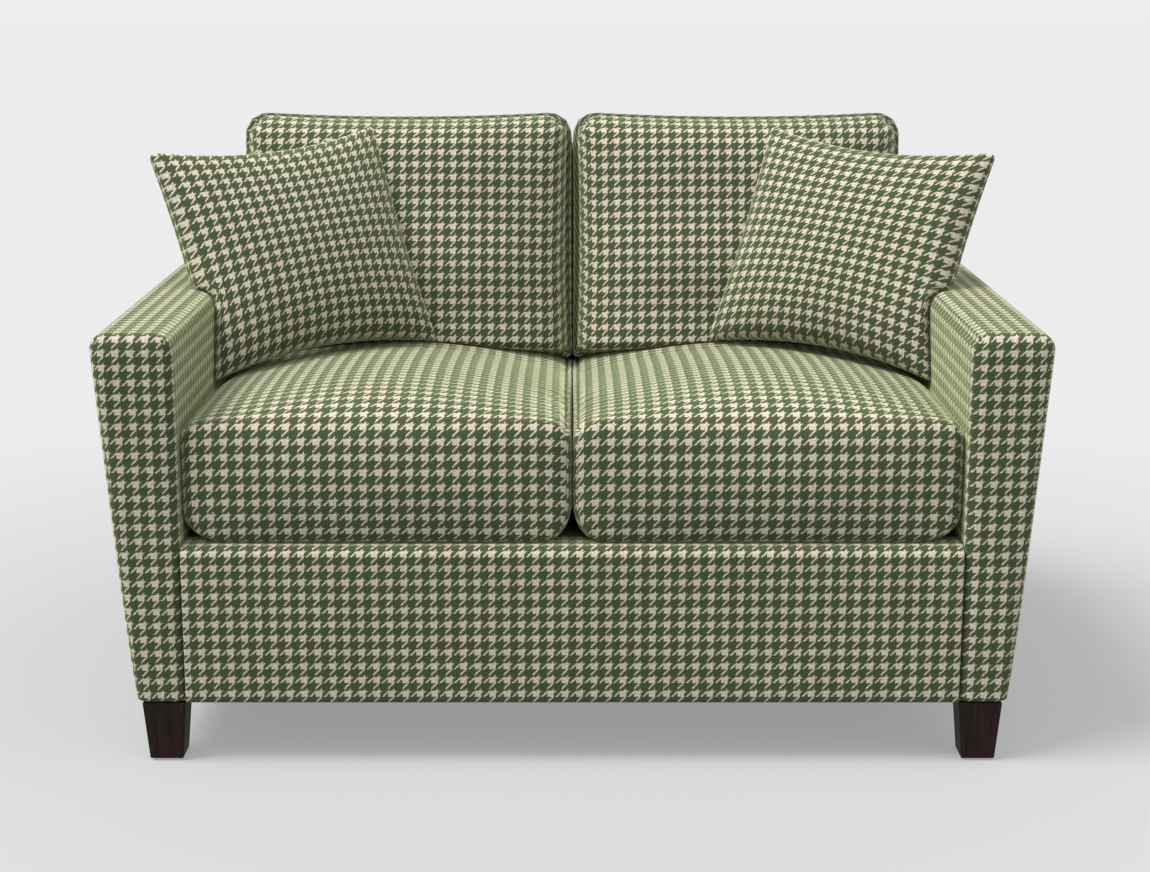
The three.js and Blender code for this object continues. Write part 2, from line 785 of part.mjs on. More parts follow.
// What each side has, drawn for the right and mirrored for the left.
const cushions = cushionSet();
for (const side of [-1, 1]) {
  const hand = side < 0 ? "left" : "right";
  const half = new THREE.Group();
  half.scale.set(side, 1, 1);
  settee.add(half);
  add(half, `arm_cover_${hand}`, armCover(), houndstooth);
  add(half, `arm_front_post_${hand}`, armFrontPost(), timber);
  add(half, `arm_back_post_${hand}`, armBackPost(), timber);
  add(half, `arm_top_rail_${hand}`, armTopRail(), timber);
  add(half, `base_side_rail_${hand}`, baseSideRail(), timber);
  const sideUpright = upright(uprightOuterX - uprightThickness, uprightOuterX, uprightTop);
  add(half, `back_upright_${hand}`, sideUpright, plywood);
  add(half, `corner_block_front_${hand}`, cornerBlock(frontRailRearY + clearance, 1), timber);
  add(half, `corner_block_back_${hand}`, cornerBlock(backRailFrontY - clearance, -1), timber);
  for (const [end, y] of [["front", frontFootY], ["back", rearFootY]]) {
    add(half, `foot_${end}_${hand}`, foot(y), darkWood);
    const bolt = rod(boltRadius, footX, y, baseHeight - clearance - boltInFoot, baseHeight + boltInPost);
    add(half, `foot_bolt_${end}_${hand}`, bolt, zincSteel);
    add(half, `foot_glide_${end}_${hand}`, rod(glideRadius, footX, y, 0, glideThickness), nylon);
  }
  for (let spring = 0; spring < springsPerSeat; spring++) {
    const x = (innerX * (spring + 0.5)) / springsPerSeat;
    add(half, `seat_spring_${hand}_${spring + 1}`, seatSpring(x), springSteel);
  }
  add(half, `seat_cushion_${hand}`, cushions.seat, houndstooth);
  add(half, `back_cushion_${hand}`, cushions.back, houndstooth);
  add(half, `scatter_cushion_${hand}`, cushions.scatter, houndstooth);
}

console.log(`least gap of a seat spring to itself: ${springLeastGap().toFixed(2)} mm`);

export default settee;
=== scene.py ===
"""A compact two-seat settee with slim flared arms and six loose cushions, all covered in a green and cream
houndstooth wool, on four dark tapered feet. Metres. +Z is up and the front is towards -Y."""

import math

import bmesh
import bpy
import numpy as np
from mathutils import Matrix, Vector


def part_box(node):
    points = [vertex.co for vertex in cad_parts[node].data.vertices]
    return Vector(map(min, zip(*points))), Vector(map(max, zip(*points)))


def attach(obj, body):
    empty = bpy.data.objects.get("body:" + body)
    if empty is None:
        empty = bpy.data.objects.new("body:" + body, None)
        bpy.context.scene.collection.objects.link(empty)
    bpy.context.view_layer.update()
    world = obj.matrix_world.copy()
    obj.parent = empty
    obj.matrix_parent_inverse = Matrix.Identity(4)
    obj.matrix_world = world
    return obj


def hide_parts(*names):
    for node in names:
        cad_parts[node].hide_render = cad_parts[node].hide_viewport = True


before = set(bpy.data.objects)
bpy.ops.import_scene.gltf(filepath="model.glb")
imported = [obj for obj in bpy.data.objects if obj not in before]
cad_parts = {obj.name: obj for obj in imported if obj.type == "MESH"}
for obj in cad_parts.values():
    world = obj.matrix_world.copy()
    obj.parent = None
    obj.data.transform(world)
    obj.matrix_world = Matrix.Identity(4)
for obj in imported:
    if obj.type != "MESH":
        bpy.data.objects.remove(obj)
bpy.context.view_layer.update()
scene = bpy.context.scene
scene.view_settings.view_transform = "Standard"

# Sizes that follow from the frame.
ARM_LOW, ARM_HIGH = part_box("arm_cover_right")
FRONT = ARM_LOW.y
INNER = ARM_LOW.x
BASE = ARM_LOW.z
ARM_OUTER = ARM_HIGH.x
ARM_TOP = ARM_HIGH.z
SEAT_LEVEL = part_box("front_border")[1].z
SEAT_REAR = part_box("seat_cushion_right")[1].y
BACK_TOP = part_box("inside_back_cover")[1].z

# Sizes of the covers, as the frame has them, and the distance between the points of their surfaces.
ARM_WIDTH_TOP = 0.117
ARM_WIDTH_BASE = 0.074
ARM_EDGE = (0.026, 0.015, 0.026)
ARM_FOOT_EDGE = 0.006
ARM_FOOT_TUCK = 0.0042
ARM_FOOT_TUCK_HEIGHT = 0.070
REAR_RAKE = math.radians(5)
INSIDE_RAKE = math.radians(14)
BACK_TOP_THICKNESS = 0.075
BACK_REAR_RADIUS = 0.016
BACK_FRONT_RADIUS = 0.024
BACK_LIP = 0.038
BACK_END_RADIUS = 0.010
REAR_TOP = -FRONT + BACK_REAR_RADIUS * math.sin(REAR_RAKE)
BORDER_DEPTH = 0.060
COVER_THICKNESS = 0.006
COVER_STEP = 0.012
FOOT_BOTTOM = 0.048

# Sizes of the cushions. CLEAR is the hair of room between pieces that lie on each other, and CUSHION_STEP
# the distance between the points of the seat and back cushions.
CUSHION_GAP = 0.0006
CLEAR = 0.0003
CUSHION_STEP = 0.006
SEAT_SEAM = 0.498
SEAT_SETBACK = 0.020
BACK_FOOT = 0.445
BACK_CUSHION_TOP = 0.884
BACK_CUSHION_THICKNESS = 0.145

# The cloth: the size of one repeat, and how much the seat cushions' panels are stretched.
REPEAT = 0.02065
SEAT_STRETCH = 1.05


def rear_at(height):
    """Y of the raked rear face at a height."""
    return REAR_TOP - (BACK_TOP - height) * math.tan(REAR_RAKE)


def inside_at(height):
    """Y of the raked inside back at a height."""
    return REAR_TOP - BACK_TOP_THICKNESS - (BACK_TOP - height) * math.tan(INSIDE_RAKE)


# Camera, lights and floor.

IMAGE_WIDTH = 1150
FOCAL_PIXELS = 2175
SENSOR = 36
CAMERA_DISTANCE = 2.9444
CAMERA_HEIGHT = 1.1516
CAMERA_PITCH = math.radians(12.8)
MIDDLE_PIXEL = 572.3


def make_camera():
    """A long lens a little above the back, turned down to the seat."""
    data = bpy.data.cameras.new("camera")
    data.sensor_width = SENSOR
    data.lens = FOCAL_PIXELS / IMAGE_WIDTH * SENSOR
    data.shift_x = 0.5 - MIDDLE_PIXEL / IMAGE_WIDTH
    camera = bpy.data.objects.new("camera", data)
    camera.location = (0, FRONT - CAMERA_DISTANCE, CAMERA_HEIGHT)
    camera.rotation_euler = (math.pi / 2 - CAMERA_PITCH, 0, 0)
    scene.collection.objects.link(camera)
    scene.camera = camera


def make_sun(name, strength, forwards, sideways, spread, color):
    """A broad soft lamp far above. It is tilted from straight overhead by forwards, towards the front, and by
    sideways, towards +X."""
    data = bpy.data.lights.new(name, "SUN")
    data.energy = strength
    data.angle = math.radians(spread)
    data.color = color
    lamp = bpy.data.objects.new(name, data)
    lamp.rotation_euler = (math.radians(forwards), math.radians(sideways), 0)
    scene.collection.objects.link(lamp)


class Number:
    """A shader number. Python's operators on it add Math nodes."""

    def __init__(self, shader, socket):
        self.shader = shader
        self.socket = socket

    def math(self, operation, *others):
        node = self.shader.node("ShaderNodeMath", {"operation": operation}, dict(enumerate([self, *others])))
        return Number(self.shader, node.outputs[0])

    def reflected(self, operation, other):
        node = self.shader.node("ShaderNodeMath", {"operation": operation}, {0: other, 1: self})
        return Number(self.shader, node.outputs[0])

    def __add__(self, other):
        return self.math("ADD", other)

    __radd__ = __add__

    def __sub__(self, other):
        return self.math("SUBTRACT", other)

    def __rsub__(self, other):
        return self.reflected("SUBTRACT", other)

    def __mul__(self, other):
        return self.math("MULTIPLY", other)

    __rmul__ = __mul__

    def __truediv__(self, other):
        return self.math("DIVIDE", other)

    def fraction(self):
        return self.math("FRACT")

    def absolute(self):
        return self.math("ABSOLUTE")

    def sine(self):
        return self.math("SINE")

    def clamped(self):
        return self.math("MAXIMUM", 0).math("MINIMUM", 1)

    def band(self, middle, half_width, softness):
        """1 where the fractional part lies within half_width of middle, and 0 elsewhere, with soft edges."""
        off_middle = ((self - middle + 0.5).fraction() - 0.5).absolute()
        return ((half_width - off_middle) / softness + 0.5).clamped()


class Shader:
    """The nodes of a material or of the world."""

    def __init__(self, owner):
        self.owner = owner
        owner.use_nodes = True
        self.tree = owner.node_tree
        self.tree.nodes.clear()

    def node(self, kind, settings=None, inputs=None):
        """A node of a kind, with its settings, then the values or links of its sockets."""
        made = self.tree.nodes.new(kind)
        for key, value in (settings or {}).items():
            if key == "stops":
                for index, (place, color) in enumerate(value):
                    ramp = made.color_ramp.elements
                    stop = ramp[index] if index < 2 else ramp.new(place)
                    stop.position = place
                    stop.color = (*color, 1)
            else:
                setattr(made, key, value)
        for key, value in (inputs or {}).items():
            if isinstance(value, Number):
                value = value.socket
            if isinstance(value, bpy.types.NodeSocket):
                self.tree.links.new(value, made.inputs[key])
            else:
                made.inputs[key].default_value = value
        return made

    def number(self, kind, settings=None, inputs=None, output=0):
        return Number(self, self.node(kind, settings, inputs).outputs[output])

    def mix(self, share, first, second, blend="MIX"):
        """A colour between two colours."""
        settings = {"data_type": "RGBA", "blend_type": blend}
        node = self.node("ShaderNodeMix", settings, {0: share, 6: first, 7: second})
        return node.outputs[2]

    def surface(self, socket):
        """The material, with the shader that it shows."""
        self.node("ShaderNodeOutputMaterial", None, {"Surface": socket})
        return self.owner


def linear(red, green, blue):
    """A colour of 0 to 255 values as the linear colour that a shader takes."""
    share = np.array([red, green, blue]) / 255
    low, high = share / 12.92, ((share + 0.055) / 1.055) ** 2.4
    return (*np.where(share <= 0.04045, low, high).tolist(), 1.0)


# Colours of the yarns.
CREAM_YARN = linear(191, 184, 168)
GREEN_YARN = linear(61, 76, 51)
OLIVE_YARN = linear(77, 77, 55)

# The floor and the backdrop behind it.
FLOOR_SHOWN = linear(133, 133, 134)
FLOOR_BOUNCE = linear(132, 132, 132)
FLOOR_GLOW = linear(150, 150, 152)
BACKDROP = linear(237, 237, 238)
ROOM_STRENGTH = 0.52
FLOOR_NEAR = 0.9
FLOOR_FAR = 2.2
STAGE_SIZE = 60


def seen_directly(shader):
    """1 for what the camera, a reflection or glass shows, and 0 for what only lights the object."""
    path = shader.node("ShaderNodeLightPath")
    total = Number(shader, path.outputs["Is Camera Ray"])
    for output in ("Is Glossy Ray", "Is Transmission Ray"):
        total = total.math("MAXIMUM", Number(shader, path.outputs[output]))
    return total


def make_stage():
    """A wide pale floor, and a pale room around it. Seen directly, the floor glows a little, so that its
    lit part is as pale as the room and the shadow under the object stays soft."""
    shader = Shader(bpy.data.materials.new("pale_floor"))
    share = seen_directly(shader)
    color = shader.mix(share, FLOOR_BOUNCE, FLOOR_SHOWN)
    paint = shader.node("ShaderNodeBsdfDiffuse", None, {"Color": color})
    glow = shader.node("ShaderNodeEmission", None, {"Color": FLOOR_GLOW, "Strength": share})
    both = shader.node("ShaderNodeAddShader", None, {0: paint.outputs[0], 1: glow.outputs[0]})
    far_glow = shader.node("ShaderNodeEmission", None, {"Color": BACKDROP, "Strength": share})
    place = shader.node("ShaderNodeTexCoord")
    distance = shader.number("ShaderNodeVectorMath", {"operation": "LENGTH"}, {0: place.outputs["Object"]}, 1)
    far = (distance - FLOOR_NEAR) / (FLOOR_FAR - FLOOR_NEAR)
    eased = far.clamped().math("SMOOTH_MIN", 1, 0.3) * share
    mixed = shader.node(
        "ShaderNodeMixShader", None, {0: eased, 1: both.outputs[0], 2: far_glow.outputs[0]})
    half = STAGE_SIZE / 2
    mesh = bpy.data.meshes.new("floor")
    corners = [(-half, -half, 0), (half, -half, 0), (half, half, 0), (-half, half, 0)]
    mesh.from_pydata(corners, [], [(0, 1, 2, 3)])
    mesh.materials.append(shader.surface(mixed.outputs[0]))
    floor = bpy.data.objects.new("floor", mesh)
    scene.collection.objects.link(floor)
    scene.world = bpy.data.worlds.new("room")
    room = Shader(scene.world)
    shown = seen_directly(room)
    strength = shown * (1 - ROOM_STRENGTH) + ROOM_STRENGTH
    color = room.mix(shown, (1, 1, 1, 1), BACKDROP)
    light = room.node("ShaderNodeBackground", None, {"Color": color, "Strength": strength})
    room.node("ShaderNodeOutputWorld", None, {"Surface": light.outputs[0]})


# The cloth. The blocks of cream yarns and the slanting bars lie at these shares of a repeat, and are twice
# these half widths wide. Fuzzy yarns wander by up to half of YARN_WANDER. The tones say how much the grain
# of the yarns, finer speckles and a slow drift change the brightness.
WARP_PLACE, WARP_HALF = 0.495, 0.222
WEFT_PLACE, WEFT_HALF = 0.0, 0.212
WARP_BAR_PLACE, WEFT_BAR_PLACE, BAR_HALF = 0.80, 0.22, 0.145
TWILL_PLACE, TWILL_HALF, TWILL_SOFTNESS = 0.77, 0.25, 0.2
YARN_EDGE = 0.05
YARN_WANDER = 0.0018
YARNS_PER_REPEAT = 8
GRAIN_TONE, SPECKLE_TONE, DRIFT_TONE = 1.3, 1.2, 0.16


def houndstooth():
    """Four cream and four dark yarns each way in a two-and-two twill. The cloth map gives the place on the
    cloth in metres. A cream warp crosses a cream weft in a cream block, two dark ones cross in a green block,
    and in the mixed places the twill shows the one on top in slanting bars."""
    shader = Shader(bpy.data.materials.new("houndstooth_wool"))
    cloth = shader.node("ShaderNodeUVMap", {"uv_map": "cloth"})
    fuzz = shader.node(
        "ShaderNodeTexNoise", {"noise_dimensions": "2D"},
        {"Vector": cloth.outputs[0], "Scale": 420.0, "Detail": 2.0})
    parts = shader.node("ShaderNodeSeparateXYZ", None, {0: cloth.outputs[0]})
    shifts = shader.node("ShaderNodeSeparateColor", None, {0: fuzz.outputs["Color"]})
    across, up = (
        (Number(shader, parts.outputs[k]) + (Number(shader, shifts.outputs[k]) - 0.5) * YARN_WANDER) / REPEAT
        for k in range(2))
    cream_warp = across.band(WARP_PLACE, WARP_HALF, YARN_EDGE)
    cream_weft = up.band(WEFT_PLACE, WEFT_HALF, YARN_EDGE)
    slant = (across - up) * 2
    warp_bar = slant.band(WARP_BAR_PLACE, BAR_HALF, 2 * YARN_EDGE)
    weft_bar = slant.band(WEFT_BAR_PLACE, BAR_HALF, 2 * YARN_EDGE)
    block = cream_warp * cream_weft
    bars = cream_warp * (1 - cream_weft) * warp_bar + (1 - cream_warp) * cream_weft * weft_bar
    cream = block + bars
    green = (1 - cream_warp) * (1 - cream_weft)
    dark = shader.mix(green, OLIVE_YARN, GREEN_YARN)
    color = shader.mix(cream, dark, CREAM_YARN)
    grain = shader.number(
        "ShaderNodeTexNoise", {"noise_dimensions": "2D"},
        {"Vector": cloth.outputs[0], "Scale": 900.0, "Detail": 3.0, "Roughness": 0.7})
    drift = shader.number(
        "ShaderNodeTexNoise", {"noise_dimensions": "2D"},
        {"Vector": cloth.outputs[0], "Scale": 9.0, "Detail": 2.0})
    speckle = Number(shader, shifts.outputs[2]) - 0.5
    tone = (grain - 0.5) * GRAIN_TONE + speckle * SPECKLE_TONE + (drift - 0.5) * DRIFT_TONE + 1
    tint = shader.node("ShaderNodeCombineColor", None, {0: tone, 1: tone, 2: tone})
    color = shader.mix(1.0, color, tint.outputs[0], "MULTIPLY")
    warp_top = slant.band(TWILL_PLACE, TWILL_HALF, TWILL_SOFTNESS)
    warp_rib = (across * (YARNS_PER_REPEAT * math.pi)).sine().absolute()
    weft_rib = (up * (YARNS_PER_REPEAT * math.pi)).sine().absolute()
    height = warp_top * warp_rib + (1 - warp_top) * weft_rib + grain * 0.9
    bump = shader.node("ShaderNodeBump", None, {"Strength": 0.6, "Distance": 0.0005, "Height": height})
    wool = shader.node("ShaderNodeBsdfPrincipled", None, {
        "Base Color": color,
        "Roughness": 0.92,
        "Specular IOR Level": 0.15,
        "Sheen Weight": 0.7,
        "Sheen Roughness": 0.38,
        "Sheen Tint": linear(205, 222, 160),
        "Normal": bump.outputs[0],
    })
    return shader.surface(wool.outputs[0])


def dark_wood():
    """Nearly black stained beech with fine upright grain under a satin lacquer."""
    shader = Shader(bpy.data.materials.new("dark_stained_beech"))
    place = shader.node("ShaderNodeTexCoord")
    stretched = shader.node(
        "ShaderNodeMapping", None, {"Vector": place.outputs["Object"], "Scale": (260.0, 260.0, 9.0)})
    grain = shader.number(
        "ShaderNodeTexNoise", None, {"Vector": stretched.outputs[0], "Scale": 1.0, "Detail": 5.0})
    ramp = shader.node(
        "ShaderNodeValToRGB",
        {"stops": [(0.32, linear(20, 13, 11)[:3]), (0.68, linear(44, 31, 26)[:3])]}, {0: grain})
    bump = shader.node("ShaderNodeBump", None, {"Strength": 0.25, "Distance": 0.0004, "Height": grain})
    wood = shader.node("ShaderNodeBsdfPrincipled", None, {
        "Base Color": ramp.outputs[0],
        "Roughness": grain * 0.25 + 0.4,
        "Specular IOR Level": 0.12,
        "Normal": bump.outputs[0],
    })
    return shader.surface(wood.outputs[0])


def grained(name, dark, light, scale, roughness, metallic=0.0):
    """A finish whose colour and relief follow one noise, stretched by scale."""
    shader = Shader(bpy.data.materials.new(name))
    place = shader.node("ShaderNodeTexCoord")
    stretched = shader.node("ShaderNodeMapping", None, {"Vector": place.outputs["Object"], "Scale": scale})
    grain = shader.number(
        "ShaderNodeTexNoise", None, {"Vector": stretched.outputs[0], "Scale": 1.0, "Detail": 4.0})
    ramp = shader.node("ShaderNodeValToRGB", {"stops": [(0.3, dark[:3]), (0.7, light[:3])]}, {0: grain})
    bump = shader.node("ShaderNodeBump", None, {"Strength": 0.4, "Distance": 0.0003, "Height": grain})
    paint = shader.node("ShaderNodeBsdfPrincipled", None, {
        "Base Color": ramp.outputs[0],
        "Roughness": grain * 0.2 + (roughness - 0.1),
        "Metallic": metallic,
        "Normal": bump.outputs[0],
    })
    return shader.surface(paint.outputs[0])


# Surfaces worked out on grids. Points closer than WELD become one.
WELD = 1e-5


class Surface:
    """Grids of points with the place of each point on the cloth, welded where they meet."""

    def __init__(self):
        self.points = []
        self.faces = []
        self.cloth = []
        self.count = 0

    def add(self, points, cloth):
        """Adds a grid of rows by columns points, and their places on the cloth."""
        rows, columns = points.shape[:2]
        index = np.arange(rows * columns).reshape(rows, columns)
        corners = [index[:-1, :-1], index[:-1, 1:], index[1:, 1:], index[1:, :-1]]
        faces = np.stack([corner.ravel() for corner in corners], axis=1)
        self.points.append(points.reshape(-1, 3))
        self.faces.append(faces + self.count)
        self.cloth.append(cloth.reshape(-1, 2)[faces])
        self.count += rows * columns

    def mirrored(self):
        """The same for the other hand. The cloth isn't mirrored, so its pattern runs on across both."""
        other = Surface()
        other.points = [points * (-1, 1, 1) for points in self.points]
        other.faces = [faces[:, ::-1] for faces in self.faces]
        other.cloth = [cloth[:, ::-1] * (-1, 1) for cloth in self.cloth]
        other.count = self.count
        return other

    def make(self, name):
        """One welded mesh whose faces point outwards, with the places on the cloth as its cloth map."""
        points = np.concatenate(self.points)
        keys = np.round(points / WELD).astype(np.int64)
        _, first, place = np.unique(keys, axis=0, return_index=True, return_inverse=True)
        faces = place.reshape(-1)[np.concatenate(self.faces)]
        cloth = np.concatenate(self.cloth)
        mesh = bpy.data.meshes.new(name)
        mesh.vertices.add(len(first))
        mesh.vertices.foreach_set("co", points[first].astype(np.float32).ravel())
        mesh.loops.add(faces.size)
        mesh.loops.foreach_set("vertex_index", faces.astype(np.int32).ravel())
        mesh.polygons.add(len(faces))
        mesh.polygons.foreach_set("loop_start", np.arange(0, faces.size, 4, dtype=np.int32))
        mesh.update(calc_edges=True)
        layer = mesh.uv_layers.new(name="cloth")
        layer.data.foreach_set("uv", cloth.astype(np.float32).ravel())
        mesh.polygons.foreach_set("use_smooth", np.ones(len(faces), dtype=bool))
        made = bmesh.new()
        made.from_mesh(mesh)
        bmesh.ops.recalc_face_normals(made, faces=made.faces)
        made.to_mesh(mesh)
        made.free()
        piece = bpy.data.objects.new(name, mesh)
        scene.collection.objects.link(piece)
        return piece


def spaced(length, near, step):
    """Places from 0 to length: the distances in near from both ends, and even ones about step apart."""
    near = np.asarray(near, float)
    inner = length - 2 * near[-1]
    middle = np.linspace(near[-1], length - near[-1], max(1, round(inner / step)) + 1)
    return np.concatenate([near[:-1], middle, (length - near[:-1])[::-1]])


def uneven(points, height, size):
    """A slow unevenness of stuffed cloth: three crossing waves about size long and height high."""
    x, y, z = np.moveaxis(points, -1, 0) * (2 * math.pi / size)
    waves = np.sin(x + 0.7 * z + 1.3) + np.sin(1.3 * y - 0.6 * x + 0.4) + np.sin(0.9 * z + 0.8 * y)
    return height * waves / 3


def rounded_box(low, high, low_radii, radii, near, step, cloth_of, warp):
    """A box with rounded edges. A point of the plain box is drawn in to the box that lies its radii inside,
    and put back at its radii from there. low_radii are those at the low ends of X, Y and Z, and radii those
    at the high ends. warp then moves the points and the lengths along the rounded faces, and
    cloth_of(axis, end, lengths) turns those lengths into places on the cloth."""
    low, high, low_radii, radii = (np.asarray(values, float) for values in (low, high, low_radii, radii))
    surface = Surface()
    for axis, end in [(axis, end) for axis in range(3) for end in (-1, 1)]:
        first, second = [other for other in range(3) if other != axis]
        a = low[first] + spaced(high[first] - low[first], near, step)
        b = low[second] + spaced(high[second] - low[second], near, step)
        grid = np.empty((len(b), len(a), 3))
        grid[..., first], grid[..., second] = np.meshgrid(a, b)
        grid[..., axis] = high[axis] if end > 0 else low[axis]
        core = np.clip(grid, low + low_radii, high - radii)
        reach = np.where(grid < core, low_radii, radii)
        off = (grid - core) / reach
        rounded = core + reach * off / np.linalg.norm(off, axis=-1, keepdims=True)
        rounded, lengths = warp(rounded, core + reach * np.arctan(off))
        surface.add(rounded, cloth_of(axis, end, lengths))
    return surface


def arm_surface():
    """The right-hand arm: a rounded box whose width shrinks evenly to the base and whose rear is raked. Its
    outside is drawn in a little more towards the foot, where the cover is pulled under the frame."""
    rx, ry, rz = ARM_EDGE
    outer = INNER + ARM_WIDTH_TOP
    high = (outer, REAR_TOP, ARM_TOP)
    quarter = math.pi / 4
    edge_up = ARM_TOP - rz + rz * quarter
    edge_in = FRONT + ry - ry * quarter
    edge_inner = INNER + rx - rx * quarter
    edge_outer = outer - rx + rx * quarter
    depth = REAR_TOP - FRONT

    def warp(points, lengths):
        share_up = (points[..., 2] - BASE) / (ARM_TOP - BASE)
        width = (ARM_WIDTH_BASE + (ARM_WIDTH_TOP - ARM_WIDTH_BASE) * share_up) / ARM_WIDTH_TOP
        reach = (rear_at(points[..., 2]) - FRONT) / depth
        for values in (points, lengths):
            values[..., 0] = INNER + (values[..., 0] - INNER) * width
            values[..., 1] = FRONT + (values[..., 1] - FRONT) * reach
        tuck = ARM_FOOT_TUCK * np.exp((BASE - points[..., 2]) / ARM_FOOT_TUCK_HEIGHT)
        points[..., 0] -= tuck * (points[..., 0] - INNER) / ARM_WIDTH_BASE
        return points, lengths

    def cloth_of(axis, end, lengths):
        x, y, z = np.moveaxis(lengths, -1, 0)
        if axis == 2:
            return np.stack([x, edge_up + y - edge_in if end > 0 else BASE - (y - edge_in)], axis=-1)
        if axis == 1:
            return np.stack([x if end < 0 else -x, z], axis=-1)
        if end < 0:
            return np.stack([edge_inner - (y - edge_in), z], axis=-1)
        return np.stack([edge_outer + y - edge_in, z], axis=-1)

    near = [0, 0.002, 0.004, 0.006, 0.009, 0.0145, 0.0195, 0.026]
    low = (INNER, FRONT, BASE)
    return rounded_box(low, high, (rx, ry, ARM_FOOT_EDGE), ARM_EDGE, near, COVER_STEP, cloth_of, warp)


def profile_cover(profile, half, end_radius, phase):
    """A cover whose profile in Y and Z runs along X, with its ends turned in round a small radius.
    profile is (Y, Z) points with the outside on the left hand, and phase the cloth's height at its start."""
    step_across = 0.015
    profile = np.asarray(profile, float)
    steps = np.diff(profile, axis=0)
    length = np.concatenate([[0], np.cumsum(np.hypot(*steps.T))])
    tangent = np.gradient(profile, length, axis=0)
    tangent /= np.linalg.norm(tangent, axis=1, keepdims=True)
    normal = np.stack([-tangent[:, 1], tangent[:, 0]], axis=1)
    turn = np.linspace(0, math.pi / 2, 5)
    inset = end_radius * (1 - np.cos(turn[::-1]))
    x_end = half - end_radius + end_radius * np.sin(turn[::-1])
    middle = np.linspace(-half + end_radius, half - end_radius, round(2 * half / step_across))[1:-1]
    x = np.concatenate([-x_end, middle, x_end[::-1]])
    drop = np.concatenate([inset, np.zeros(len(x) - 2 * len(inset)), inset[::-1]])
    rounding = end_radius * turn[::-1]
    u = np.concatenate([-(half - end_radius) - rounding, middle, (half - end_radius) + rounding[::-1]])
    points = np.empty((len(profile), len(x), 3))
    points[..., 0] = x
    points[..., 1:] = profile[:, None] - normal[:, None] * drop[None, :, None]
    cloth = np.empty((len(profile), len(x), 2))
    cloth[..., 0] = u
    cloth[..., 1] = (phase + length)[:, None]
    surface = Surface()
    surface.add(points, cloth)
    return surface


def arc(centre, radius, start, end, count):
    """Points on a circular arc in Y and Z, from one angle to another, in degrees."""
    angle = np.radians(np.linspace(start, end, count))
    return [(centre[0] + radius * math.cos(a), centre[1] + radius * math.sin(a)) for a in angle]


def dense(points, step):
    """The same open line with points about step apart."""
    points = np.asarray(points, float)
    length = np.concatenate([[0], np.cumsum(np.hypot(*np.diff(points, axis=0).T))])
    places = np.unique(np.concatenate([np.arange(0, length[-1], step), length]))
    places = places[np.insert(np.diff(places) > step / 20, 0, True)]
    return np.stack([np.interp(places, length, points[:, k]) for k in range(2)], axis=1)


def border_surface():
    """The border below the seat cushions: up its front, over its rounded top edge and back over the front
    rail."""
    top_radius, foot_radius, end_radius, turn_in = 0.015, 0.005, 0.004, 0.010
    profile = [(FRONT + turn_in, BASE)]
    profile += arc((FRONT + foot_radius, BASE + foot_radius), foot_radius, 270, 180, 5)
    profile += arc((FRONT + top_radius, SEAT_LEVEL - top_radius), top_radius, 180, 90, 9)
    profile += [(FRONT + BORDER_DEPTH, SEAT_LEVEL)]
    return profile_cover(dense(profile, COVER_STEP), INNER - CLEAR, end_radius, BASE - turn_in)


def inside_back_surface():
    """The inside back: up its raked face, over the top and a little way down the rear, with a panel let in at
    each side above the arms. The panel lies inset from the cover's outline, and starts hidden by the arm."""
    bottom = SEAT_LEVEL + CLEAR
    front_slope = 90 - math.degrees(INSIDE_RAKE)
    front, rear = BACK_FRONT_RADIUS, BACK_REAR_RADIUS
    centre_front = (inside_at(BACK_TOP - front) + front / math.cos(INSIDE_RAKE), BACK_TOP - front)
    centre_rear = (REAR_TOP - rear, BACK_TOP - rear)
    profile = [(inside_at(bottom), bottom)]
    profile += arc(centre_front, front, 90 + front_slope, 90, 9)
    profile += arc(centre_rear, rear, 90, math.degrees(-REAR_RAKE), 7)
    profile += [(rear_at(BACK_TOP - BACK_LIP), BACK_TOP - BACK_LIP)]
    surface = profile_cover(dense(profile, COVER_STEP), INNER - CLEAR, BACK_END_RADIUS, bottom)
    inset = 0.0095
    hidden = 0.030
    z = np.linspace(ARM_TOP - hidden, BACK_TOP - inset, 40)[:, None]
    over_front, over_rear = z - centre_front[1], z - centre_rear[1]
    round_front = centre_front[0] - np.sqrt(np.maximum(0, (front - inset) ** 2 - over_front ** 2))
    round_rear = centre_rear[0] + np.sqrt(np.maximum(0, (rear - inset) ** 2 - over_rear ** 2))
    y_front = np.where(over_front > 0, round_front, inside_at(z) + inset)
    y_rear = np.where(over_rear > 0, round_rear, rear_at(z) - CLEAR)
    y = y_front + (y_rear - y_front) * np.linspace(0, 1, 12)
    z = np.broadcast_to(z, y.shape)
    for side in (-1, 1):
        panel = np.stack([np.full_like(y, side * (INNER - 2 * CLEAR)), y, z], axis=-1)[:, ::side]
        surface.add(panel, np.stack([side * panel[..., 1], panel[..., 2]], axis=-1))
    return surface


# Cushions.

def plan_rounded(a, b, half, radius):
    """A point of a rectangle moved so that the rectangle's corners become round."""
    x, y = np.abs(a), np.abs(b)
    over_x, over_y = x - (half[0] - radius), y - (half[1] - radius)
    corner = (over_x > 0) & (over_y > 0)
    over = np.where(corner, np.maximum(over_x, over_y) / np.maximum(np.hypot(over_x, over_y), 1e-9), 1)
    x = np.where(corner, half[0] - radius + over_x * over, x)
    y = np.where(corner, half[1] - radius + over_y * over, y)
    return np.sign(a) * x, np.sign(b) * y


